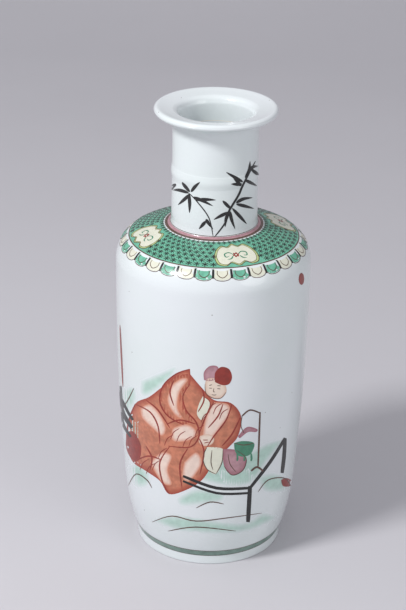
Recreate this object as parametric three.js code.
// A porcelain vase of rouleau form: a tall, nearly cylindrical body, a sloping shoulder, a straight
// neck with a raised ring, and a dished mouth. It is built as a potter builds it. Seven sections are
// thrown and turned separately, stood on one another, and luted with slip (liquid clay) before glazing.
// Each section and each layer of slip is a solid of its own.
//
// Millimetres, +Z up. The origin is the centre of the face that the vase stands on.

import * as THREE from "three";

// Driving dimensions
const SIDES = 48; // flats round each turned piece
const WALL = 7; // thickness of the body and shoulder walls
const SLIP = 0.8; // thickness of each layer of luting slip
const BEVEL = 3; // how far a seam drops from its outer edge to its inner edge

const FOOT_RADIUS = 71.6;
const FOOT_HEIGHT = 9.2;
const FOOT_WIDTH = 10.5; // across the top of the foot ring
const TREAD_WIDTH = 5.4; // the bare face that touches the table
const FOOT_CHAMFER = 1.2;
const BASE_THICKNESS = 8;

const LOWER_HEIGHT = 139.2;
const LOWER_BULGE = 15.5; // how far the wall is pulled out from the foot
const LOWER_DRAW = 4.6; // how far it is drawn in, short of the seam

const UPPER_HEIGHT = 147.2;
const BODY_RADIUS = 92.7; // widest, just under the shoulder
const SEAM_INSET = 3; // how much narrower the body is where its two halves meet

const CORNER_RISE = 24.3; // from the shoulder seam to the edge of the slope
const CORNER_RUN = 12.2; // the same, inwards
const SLOPE_RISE = 13; // from the edge of the slope to the neck's root
const SLOPE_CROWN = 2; // how far the slope bows up
const COLLAR_RISE = 6.7; // from the neck's root to the neck seam

const NECK_RADIUS = 40;
const NECK_FLARE = 0.6; // how much wider the neck is at its foot
const NECK_ROOT_WIDTH = 1.9; // the fillet where the neck leaves the shoulder
const NECK_HEIGHT = 83.4;
const NECK_WALL = 6;
const RING_RISE = 45.2; // height of the raised ring above the neck seam
const RING_PROUD = 0.9;
const RING_HALF_HEIGHT = 7;

const LIP_RADIUS = 57.4; // outermost
const LIP_ROUND = 3.3; // radius of the rolled edge
const MOUTH_HEIGHT = 23;
const DISH_DEPTH = 2.6; // the top of the mouth falls this far towards the bore
const BORE_ROUND = 5; // how far the bore's edge is rounded over

const WALL_STEPS = 8; // straight pieces in a long curve
const CURVE_STEPS = 6; // straight pieces in a short curve

const point = (radius, height) => new THREE.Vector2(radius, height);

// Heights of the pieces, from the table up
const footTop = FOOT_HEIGHT;
const lowerStart = footTop + SLIP;
const lowerEnd = lowerStart + LOWER_HEIGHT;
const upperStart = lowerEnd + SLIP;
const upperEnd = upperStart + UPPER_HEIGHT;
const shoulderStart = upperEnd + SLIP;
const slopeStart = shoulderStart + CORNER_RISE;
const slopeEnd = slopeStart + SLOPE_RISE;
const shoulderEnd = slopeEnd + COLLAR_RISE;
const neckStart = shoulderEnd + SLIP;
const neckEnd = neckStart + NECK_HEIGHT;
const mouthStart = neckEnd + SLIP;
const mouthTop = mouthStart + MOUTH_HEIGHT;

const neckFootRadius = NECK_RADIUS + NECK_FLARE;
const boreRadius = NECK_RADIUS - NECK_WALL;
const seamRadius = BODY_RADIUS - SEAM_INSET;
const seatRadius = FOOT_RADIUS - WALL; // the inside of the lower body, where the base sits

const glaze = new THREE.MeshStandardMaterial({ color: 0xeceff0, roughness: 0.12 });
const slipClay = new THREE.MeshStandardMaterial({ color: 0xe4e0d6, roughness: 0.8 });

const vase = new THREE.Group();

// Turns a profile about the upright axis. The profile goes up its outside and down its inside.
function turned(name, profile, material) {
  const geometry = new THREE.LatheGeometry([...profile, profile[0]], SIDES);
  geometry.rotateX(Math.PI / 2);
  const mesh = new THREE.Mesh(geometry, material);
  mesh.name = name;
  vase.add(mesh);
}

// The same line, moved inwards by a wall's thickness, square to itself.
function movedInwards(line, wall) {
  return line.map((here, i) => {
    const before = line[Math.max(i - 1, 0)];
    const after = line[Math.min(i + 1, line.length - 1)];
    const along = after.clone().sub(before).normalize();
    return point(here.x - along.y * wall, here.y + along.x * wall);
  });
}

// A wall between two seams. Its outside is the line given, and both ends drop inwards by the bevel.
function section(name, outside, wallAtFoot, wallAtTop, wall) {
  const foot = outside[0];
  const top = outside.at(-1);
  const innerFoot = point(foot.x - wallAtFoot, foot.y - BEVEL);
  const innerTop = point(top.x - wallAtTop, top.y - BEVEL);
  const clear = (p) => p.y > innerFoot.y + BEVEL && p.y < innerTop.y - BEVEL;
  const inside = movedInwards(outside, wall).filter(clear).reverse();
  turned(name, [...outside, innerTop, ...inside, innerFoot], glaze);
}

// The layer of slip in a bevelled seam, between the section below and the one above.
function seam(name, outerRadius, innerRadius, height) {
  turned(
    name,
    [
      point(innerRadius, height - BEVEL),
      point(outerRadius, height),
      point(outerRadius, height + SLIP),
      point(innerRadius, height + SLIP - BEVEL),
    ],
    slipClay,
  );
}

function makeFoot() {
  const innerRadius = FOOT_RADIUS - FOOT_WIDTH;
  const treadOuter = FOOT_RADIUS - FOOT_CHAMFER;
  const treadInner = treadOuter - TREAD_WIDTH;
  turned(
    "foot_ring",
    [
      point(treadInner, 0),
      point(treadOuter, 0),
      point(FOOT_RADIUS, FOOT_CHAMFER),
      point(FOOT_RADIUS, footTop),
      point(innerRadius, footTop),
      point(treadInner - FOOT_CHAMFER, FOOT_CHAMFER),
    ],
    glaze,
  );
  turned(
    "foot_luting",
    [
      point(innerRadius, footTop),
      point(FOOT_RADIUS, footTop),
      point(FOOT_RADIUS, lowerStart),
      point(innerRadius, lowerStart),
    ],
    slipClay,
  );
}

function makeBase() {
  const edge = seatRadius - SLIP;
  const top = lowerStart + BASE_THICKNESS;
  turned(
    "base_disc",
    [point(0, lowerStart), point(edge, lowerStart), point(edge, top), point(0, top)],
    glaze,
  );
  turned(
    "base_luting",
    [point(edge, lowerStart), point(seatRadius, lowerStart), point(seatRadius, top), point(edge, top)],
    slipClay,
  );
}

function makeLowerBody() {
  const outside = new THREE.CubicBezierCurve(
    point(FOOT_RADIUS, lowerStart),
    point(FOOT_RADIUS + LOWER_BULGE, lowerStart + LOWER_HEIGHT * 0.27),
    point(seamRadius - LOWER_DRAW, lowerStart + LOWER_HEIGHT * 0.63),
    point(seamRadius, lowerEnd),
  ).getPoints(WALL_STEPS + 2);
  const seatTop = lowerStart + BASE_THICKNESS;
  const innerTop = point(seamRadius - WALL, lowerEnd - BEVEL);
  const clear = (p) => p.y > seatTop + BEVEL && p.y < innerTop.y - BEVEL;
  const inside = movedInwards(outside, WALL).filter(clear).reverse();
  turned(
    "lower_body",
    [...outside, innerTop, ...inside, point(seatRadius, seatTop), point(seatRadius, lowerStart)],
    glaze,
  );
}

function makeUpperBody() {
  seam("body_luting", seamRadius, seamRadius - WALL, lowerEnd);
  const outside = new THREE.QuadraticBezierCurve(
    point(seamRadius, upperStart),
    point(BODY_RADIUS, upperStart + UPPER_HEIGHT * 0.45),
    point(BODY_RADIUS, upperEnd),
  ).getPoints(WALL_STEPS);
  section("upper_body", outside, WALL, WALL, WALL);
}

function makeShoulder() {
  seam("shoulder_luting", BODY_RADIUS, BODY_RADIUS - WALL, upperEnd);
  const edge = point(BODY_RADIUS - CORNER_RUN, slopeStart);
  const root = point(neckFootRadius + NECK_ROOT_WIDTH, slopeEnd);
  const corner = new THREE.CubicBezierCurve(
    point(BODY_RADIUS, shoulderStart),
    point(BODY_RADIUS, shoulderStart + CORNER_RISE * 0.45),
    point(BODY_RADIUS - CORNER_RUN * 0.5, slopeStart - CORNER_RISE * 0.125),
    edge,
  ).getPoints(CURVE_STEPS + 1);
  const slope = new THREE.QuadraticBezierCurve(
    edge,
    point((edge.x + root.x) / 2, (edge.y + root.y) / 2 + SLOPE_CROWN),
    root,
  ).getPoints(CURVE_STEPS);
  const collar = new THREE.QuadraticBezierCurve(
    root,
    point(neckFootRadius, slopeEnd + COLLAR_RISE * 0.1),
    point(neckFootRadius, shoulderEnd),
  ).getPoints(CURVE_STEPS - 2);
  const outside = [...corner, ...slope.slice(1), ...collar.slice(1)];
  const neckWall = neckFootRadius - boreRadius;
  section("shoulder", outside, WALL, neckWall, neckWall);
}

function makeNeck() {
  seam("neck_luting", neckFootRadius, boreRadius, shoulderEnd);
  const ringCentre = neckStart + RING_RISE;
  const radiusAt = (height) => {
    const taper = (neckEnd - height) / NECK_HEIGHT;
    const ring = Math.min(Math.abs(height - ringCentre) / RING_HALF_HEIGHT, 1);
    return NECK_RADIUS + NECK_FLARE * taper + (RING_PROUD * (1 + Math.cos(Math.PI * ring))) / 2;
  };
  const outside = [point(radiusAt(neckStart), neckStart)];
  for (let i = 0; i <= WALL_STEPS; i++) {
    const height = ringCentre + RING_HALF_HEIGHT * ((2 * i) / WALL_STEPS - 1);
    outside.push(point(radiusAt(height), height));
  }
  outside.push(point(radiusAt(neckEnd), neckEnd));
  const innerTop = point(boreRadius, neckEnd - BEVEL);
  const innerFoot = point(boreRadius, neckStart - BEVEL);
  turned("neck", [...outside, innerTop, innerFoot], glaze);
}

function makeMouth() {
  seam("mouth_luting", NECK_RADIUS, boreRadius, neckEnd);
  const lipCentre = LIP_RADIUS - LIP_ROUND;
  const underLip = mouthTop - 2 * LIP_ROUND;
  const flare = new THREE.QuadraticBezierCurve(
    point(NECK_RADIUS, (mouthStart + underLip) / 2),
    point(NECK_RADIUS, underLip - LIP_ROUND / 2),
    point((NECK_RADIUS + lipCentre) / 2, underLip - LIP_ROUND / 4),
  ).getPoints(CURVE_STEPS);
  const lip = new THREE.Path()
    .absarc(lipCentre, mouthTop - LIP_ROUND, LIP_ROUND, -Math.PI / 2, Math.PI / 2, false)
    .getPoints(CURVE_STEPS * 2);
  const boreEdge = mouthTop - DISH_DEPTH;
  const bore = new THREE.QuadraticBezierCurve(
    point(boreRadius + BORE_ROUND, boreEdge),
    point(boreRadius, boreEdge - DISH_DEPTH / 4),
    point(boreRadius, boreEdge - 2 * BORE_ROUND),
  ).getPoints(CURVE_STEPS);
  const foot = point(NECK_RADIUS, mouthStart);
  const innerFoot = point(boreRadius, mouthStart - BEVEL);
  turned("mouth_rim", [foot, ...flare, ...lip, ...bore, innerFoot], glaze);
}

makeFoot();
makeBase();
makeLowerBody();
makeUpperBody();
makeShoulder();
makeNeck();
makeMouth();

export default vase;
